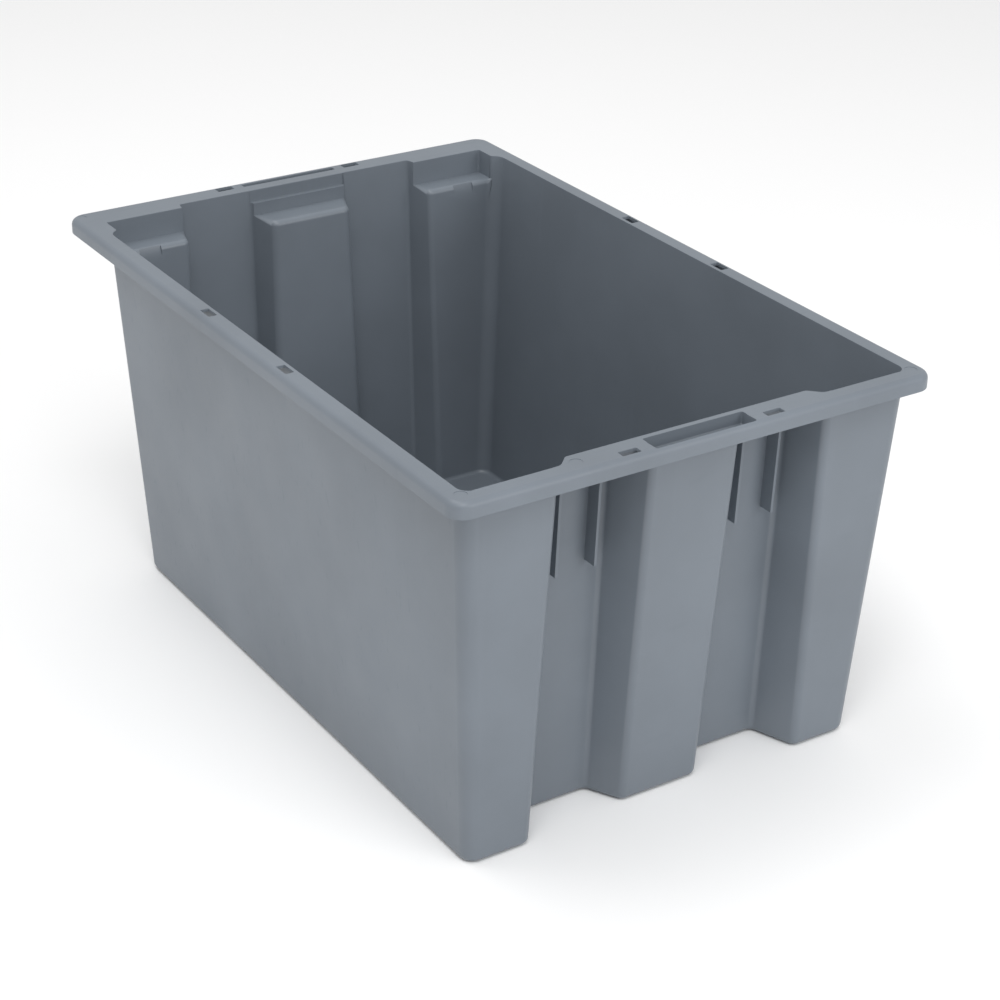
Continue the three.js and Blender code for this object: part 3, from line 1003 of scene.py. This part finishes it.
@dataclass(frozen=True)
class Tote:
    """The whole moulding."""

    size: ToteSize = field(default_factory=ToteSize)
    foot_radius: float = 0.006
    edge_round: float = 0.0006
    edge_segments: int = 2
    pad_margin: float = 0.0006
    pad_half: float = 0.125
    smooth_angle: float = 35.0

    def build(self) -> bpy.types.Object:
        """Joins the walls, rim, ledges, pad and ribs, and cuts the room inside them.

        Returns:
            The finished skin.
        """
        size = self.size
        outline = WallOutline(size)
        ledges = StackingLedges(size, outline)
        pad = RimPad(size)
        outside = WallBody(outline, 0.0, 0.0, size.height - size.wall / 2, self.foot_radius)
        tote = outside.build("tote_moulding")
        Bench.combine(tote, RimFrame(size).build(), Join.UNION)
        for block in ledges.blocks() + pad.end_blocks(outline):
            Bench.combine(tote, Bench.box("ledge", block), Join.UNION)
        foot = self.foot_radius - size.wall
        room = WallBody(outline, size.wall, size.floor, size.height + OVERSHOOT, foot)
        air = room.build("air")
        ledges.open_air(air)
        for tool in pad.end_air():
            Bench.combine(air, tool, Join.UNION)
        Bench.combine(tote, air, Join.CUT)
        Bench.combine(tote, pad.plate(), Join.UNION)
        Bench.combine(tote, Bench.box("cup", pad.cup()), Join.UNION)
        Bench.combine(tote, pad.pocket(), Join.CUT)
        for tool in RimCuts(size).build():
            Bench.combine(tote, tool, Join.CUT)
        for rib in GrooveRibs(size, outline).build():
            Bench.combine(tote, rib, Join.UNION)
        LOG.info("%d open edges closed", Bench.close_gaps(tote))
        self._finish(tote)
        return tote

    def _on_pad_edge(self, edge: Edge) -> bool:
        """Says whether an edge belongs to the pad's inner edge or sloping ends, which stay crisp.

        Args:
            edge: The edge.

        Returns:
            Whether it does.
        """
        rim = -(self.size.front_top - self.size.wall) - self.pad_margin
        pad = -self.size.pad_edge_y + self.pad_margin
        return any(rim < vert.co.y < pad and abs(vert.co.x) < self.pad_half for vert in edge.verts)

    def _finish(self, tote: bpy.types.Object) -> None:
        """Softens the crisp edges of the rim, presses the pin marks and smooths the shading.

        Args:
            tote: The joined moulding.
        """
        for z in (self.size.height, self.size.skirt_z):
            Bench.round(
                tote,
                lambda edge, z=z: (
                    lies_at(edge, z) and is_crisp(edge) and not self._on_pad_edge(edge)
                ),
                self.edge_round,
                self.edge_segments,
            )
            Bench.close()
        for tool in PinMarks(self.size).build():
            Bench.combine(tote, tool, Join.CUT)
        LOG.info("%d open edges closed", Bench.close_gaps(tote))
        Bench.activate(tote)
        bpy.ops.object.shade_smooth_by_angle(angle=math.radians(self.smooth_angle))
        even = tote.modifiers.new("even", "WEIGHTED_NORMAL")
        even.keep_sharp = True
        bpy.ops.object.modifier_apply(modifier=even.name)


@dataclass(frozen=True)
class MouldedPlastic:
    """Semi-gloss blue-grey plastic.

    It has a fine grain, faint flow lines, light scuffs and a few specks.
    """

    name: str = "moulded_plastic"
    colour: Triple = (0.158, 0.182, 0.211)
    tint: float = 0.06
    cloud_scale: float = 9.0
    cloud_range: Span = (0.35, 0.65)
    flow_scale: float = 60.0
    flow_stretch: Triple = (1, 1, 0.04)
    flow_range: Span = (0.62, 0.72)
    flow_strength: float = 0.25
    roughness: float = 0.40
    patch_scale: float = 14.0
    patch_range: Span = (0.3, 0.7)
    polished: float = 0.03
    worn: float = 0.05
    scuff_scale: float = 30.0
    scuff_stretch: Triple = (1, 9, 3)
    scuff_range: Span = (0.62, 0.75)
    scuff_roughness: float = 0.10
    grain_scale: float = 1400.0
    grain_height: float = 0.00002
    warp_scale: float = 7.0
    warp_height: float = 0.0005
    speck_scale: float = 38.0
    speck_size: float = 0.018
    speck_fade: float = 1.6
    speck_range: Span = (0.955, 0.96)
    speck_colour: Triple = (0.03, 0.03, 0.03)
    ior: float = 1.49

    def build(self) -> bpy.types.Material:
        """Wires the shader.

        Returns:
            The material.
        """
        material = bpy.data.materials.new(self.name)
        material.use_nodes = True
        tree = material.node_tree
        tree.nodes.clear()
        shader = tree.nodes.new("ShaderNodeBsdfPrincipled")
        output = tree.nodes.new("ShaderNodeOutputMaterial")
        tree.links.new(shader.outputs["BSDF"], output.inputs["Surface"])
        place = tree.nodes.new("ShaderNodeTexCoord").outputs["Object"]
        tree.links.new(self._colour(tree, place), shader.inputs["Base Color"])
        tree.links.new(self._roughness(tree, place), shader.inputs["Roughness"])
        tree.links.new(self._relief(tree, place), shader.inputs["Normal"])
        shader.inputs["IOR"].default_value = self.ior
        return material

    @staticmethod
    def noise(
        tree: Tree, place: Socket, scale: float, stretch: Triple = (1, 1, 1), detail: float = 4
    ) -> Socket:
        """Adds a noise between 0 and 1.

        Args:
            tree: The material's nodes.
            place: Coordinates that the noise is read at.
            scale: How fine it is.
            stretch: How much finer along each axis.
            detail: How many finer layers it has.

        Returns:
            The noise's value.
        """
        mapping = tree.nodes.new("ShaderNodeMapping")
        mapping.inputs["Scale"].default_value = stretch
        noise = tree.nodes.new("ShaderNodeTexNoise")
        noise.inputs["Scale"].default_value = scale
        noise.inputs["Detail"].default_value = detail
        tree.links.new(place, mapping.inputs["Vector"])
        tree.links.new(mapping.outputs["Vector"], noise.inputs["Vector"])
        return noise.outputs["Fac"]

    @staticmethod
    def mix(tree: Tree, share: Socket, first: Triple | Socket, second: Triple) -> Socket:
        """Blends two colours.

        Args:
            tree: The material's nodes.
            share: How much of the second colour there is.
            first: A colour, or the output of an earlier blend.
            second: The other colour.

        Returns:
            The blended colour.
        """
        blend = tree.nodes.new("ShaderNodeMix")
        blend.data_type = "RGBA"
        if isinstance(first, tuple):
            blend.inputs["A"].default_value = (*first, 1)
        else:
            tree.links.new(first, blend.inputs["A"])
        blend.inputs["B"].default_value = (*second, 1)
        tree.links.new(share, blend.inputs["Factor"])
        return blend.outputs["Result"]

    @staticmethod
    def _spread(tree: Tree, value: Socket, source: Span, target: Span) -> Socket:
        """Moves a value from one range to another, and keeps it inside.

        Args:
            tree: The material's nodes.
            value: The value.
            source: The range it comes from.
            target: The range it ends in.

        Returns:
            The moved value.
        """
        spread = tree.nodes.new("ShaderNodeMapRange")
        names = ("From Min", "From Max", "To Min", "To Max")
        for name, number in zip(names, source + target, strict=True):
            spread.inputs[name].default_value = number
        tree.links.new(value, spread.inputs["Value"])
        return spread.outputs["Result"]

    @staticmethod
    def _compute(tree: Tree, operation: str, first: Socket, second: Socket) -> Socket:
        """Adds or multiplies two values.

        Args:
            tree: The material's nodes.
            operation: ADD or MULTIPLY.
            first: One value.
            second: The other.

        Returns:
            The sum or product.
        """
        node = tree.nodes.new("ShaderNodeMath")
        node.operation = operation
        tree.links.new(first, node.inputs[0])
        tree.links.new(second, node.inputs[1])
        return node.outputs["Value"]

    def _colour(self, tree: Tree, place: Socket) -> Socket:
        """Makes the base colour, with faint clouds, upright flow lines and dark specks.

        Args:
            tree: The material's nodes.
            place: Coordinates on the moulding.

        Returns:
            The colour.
        """
        dark = tuple(channel * (1 - self.tint) for channel in self.colour)
        light = tuple(channel * (1 + self.tint) for channel in self.colour)
        clouds = self.noise(tree, place, self.cloud_scale)
        base = self.mix(tree, self._spread(tree, clouds, self.cloud_range, (0, 1)), dark, light)
        lines = self.noise(tree, place, self.flow_scale, self.flow_stretch, 2)
        flow = self._spread(tree, lines, self.flow_range, (0, self.flow_strength))
        lined = self.mix(tree, flow, base, light)
        return self.mix(tree, self._specks(tree, place), lined, self.speck_colour)

    def _specks(self, tree: Tree, place: Socket) -> Socket:
        """Chooses a few cells and keeps a small spot in the middle of each.

        Args:
            tree: The material's nodes.
            place: Coordinates on the moulding.

        Returns:
            How much of a speck there is.
        """
        cells = tree.nodes.new("ShaderNodeTexVoronoi")
        cells.inputs["Scale"].default_value = self.speck_scale
        tree.links.new(place, cells.inputs["Vector"])
        chosen = tree.nodes.new("ShaderNodeSeparateColor")
        tree.links.new(cells.outputs["Color"], chosen.inputs["Color"])
        rare = self._spread(tree, chosen.outputs["Red"], self.speck_range, (0, 1))
        reach = (self.speck_size, self.speck_size * self.speck_fade)
        near = self._spread(tree, cells.outputs["Distance"], reach, (1, 0))
        return self._compute(tree, "MULTIPLY", rare, near)

    def _roughness(self, tree: Tree, place: Socket) -> Socket:
        """Makes the roughness, which rises in broad worn patches and thin scuffs.

        Args:
            tree: The material's nodes.
            place: Coordinates on the moulding.

        Returns:
            The roughness.
        """
        broad = self.noise(tree, place, self.patch_scale)
        wear = (self.roughness - self.polished, self.roughness + self.worn)
        patches = self._spread(tree, broad, self.patch_range, wear)
        thin = self.noise(tree, place, self.scuff_scale, self.scuff_stretch, 6)
        scuffs = self._spread(tree, thin, self.scuff_range, (0, self.scuff_roughness))
        return self._compute(tree, "ADD", patches, scuffs)

    def _relief(self, tree: Tree, place: Socket) -> Socket:
        """Makes a fine moulded grain over slightly wavy walls.

        Args:
            tree: The material's nodes.
            place: Coordinates on the moulding.

        Returns:
            The normal.
        """
        wavy = tree.nodes.new("ShaderNodeBump")
        wavy.inputs["Strength"].default_value = 1.0
        wavy.inputs["Distance"].default_value = self.warp_height
        tree.links.new(self.noise(tree, place, self.warp_scale, detail=1), wavy.inputs["Height"])
        grain = tree.nodes.new("ShaderNodeBump")
        grain.inputs["Strength"].default_value = 1.0
        grain.inputs["Distance"].default_value = self.grain_height
        tree.links.new(self.noise(tree, place, self.grain_scale, detail=2), grain.inputs["Height"])
        tree.links.new(wavy.outputs["Normal"], grain.inputs["Normal"])
        return grain.outputs["Normal"]


@dataclass(frozen=True)
class Panel:
    """A soft rectangular light, aimed at a point."""

    name: str
    place: Triple
    target: Triple
    size: Span
    watts: float

    def build(self) -> None:
        """Adds the light."""
        bpy.ops.object.light_add(type="AREA", location=self.place)
        lamp = bpy.context.object
        lamp.name = self.name
        lamp.data.shape = "RECTANGLE"
        lamp.data.size, lamp.data.size_y = self.size
        lamp.data.energy = self.watts
        aim = Vector(self.target) - Vector(self.place)
        lamp.rotation_euler = aim.to_track_quat("-Z", "Y").to_euler()


@dataclass(frozen=True)
class Studio:
    """A plain pale floor, an even sky and soft lights."""

    sky: float = 0.70
    floor_size: float = 40.0
    floor_drop: float = 0.0002
    floor_colour: Triple = (0.94, 0.94, 0.94)
    floor_roughness: float = 0.9
    mottle_scale: float = 3.0
    mottle_dimming: float = 0.99
    panels: tuple[Panel, ...] = (
        Panel("key_light", (-0.9, -1.5, 2.9), (0, 0, 0.1), (1.4, 1.4), 36),
        Panel("front_light", (0.9, -2.7, 1.5), (0, 0, 0.15), (1.8, 1.2), 23),
        Panel("top_light", (-0.6, 0.7, 2.9), (0, 0, 0.1), (1.8, 1.2), 20),
    )

    def build(self) -> None:
        """Adds the floor, the sky and the lights."""
        bpy.ops.mesh.primitive_plane_add(size=self.floor_size, location=(0, 0, -self.floor_drop))
        floor = Bench.named("studio_floor")
        floor.data.materials.append(self._floor_material())
        world = bpy.data.worlds.new("studio_sky")
        world.use_nodes = True
        background = world.node_tree.nodes["Background"]
        background.inputs["Color"].default_value = (1, 1, 1, 1)
        background.inputs["Strength"].default_value = self.sky
        bpy.context.scene.world = world
        bpy.context.scene.view_settings.view_transform = "Standard"
        for panel in self.panels:
            panel.build()

    def _floor_material(self) -> bpy.types.Material:
        """Makes matt paper with a very slight mottle.

        Returns:
            The material.
        """
        material = bpy.data.materials.new("studio_paper")
        material.use_nodes = True
        tree = material.node_tree
        shader = tree.nodes["Principled BSDF"]
        shader.inputs["Roughness"].default_value = self.floor_roughness
        place = tree.nodes.new("ShaderNodeTexCoord").outputs["Object"]
        mottle = MouldedPlastic.noise(tree, place, self.mottle_scale)
        dimmer = tuple(channel * self.mottle_dimming for channel in self.floor_colour)
        paper = MouldedPlastic.mix(tree, mottle, self.floor_colour, dimmer)
        tree.links.new(paper, shader.inputs["Base Color"])
        return material


@dataclass(frozen=True)
class Camera:
    """The viewing place, as angles round the tote and a lens."""

    place: Triple = (-0.88335, -1.41064, 0.97645)
    azimuth: float = -33.161
    elevation: float = 27.201
    roll: float = 0.858
    lens: float = 85.826
    sensor: float = 36.0
    shift: Span = (-0.01019, 0.00109)

    def build(self) -> None:
        """Adds the camera and makes it the scene's own."""
        angles = (self.azimuth, self.elevation, self.roll)
        turn, rise, tilt = (math.radians(angle) for angle in angles)
        level = math.cos(rise)
        back = Vector((math.sin(turn) * level, -math.cos(turn) * level, math.sin(rise)))
        right = Vector((math.cos(turn), math.sin(turn), 0))
        up = back.cross(right)
        across = right * math.cos(tilt) + up * math.sin(tilt)
        over = up * math.cos(tilt) - right * math.sin(tilt)
        bpy.ops.object.camera_add(location=self.place)
        camera = bpy.context.object
        camera.name = "view_camera"
        axes = Matrix((across, over, back)).transposed()
        camera.rotation_euler = axes.to_euler()
        camera.data.lens = self.lens
        camera.data.sensor_width = self.sensor
        camera.data.shift_x, camera.data.shift_y = self.shift
        bpy.context.scene.camera = camera


def main() -> None:
    """Loads the frame, models the tote, dresses it and sets the studio."""
    logging.basicConfig(level=logging.INFO, format="%(message)s")
    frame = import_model()
    bpy.ops.object.select_all(action="DESELECT")
    tote = Tote().build()
    tote.data.materials.append(MouldedPlastic().build())
    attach(tote, "root")
    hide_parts(*frame["nodes"])
    LOG.info("%s: %d faces", tote.name, len(tote.data.polygons))
    Studio().build()
    Camera().build()


if __name__ == "__main__":
    main()
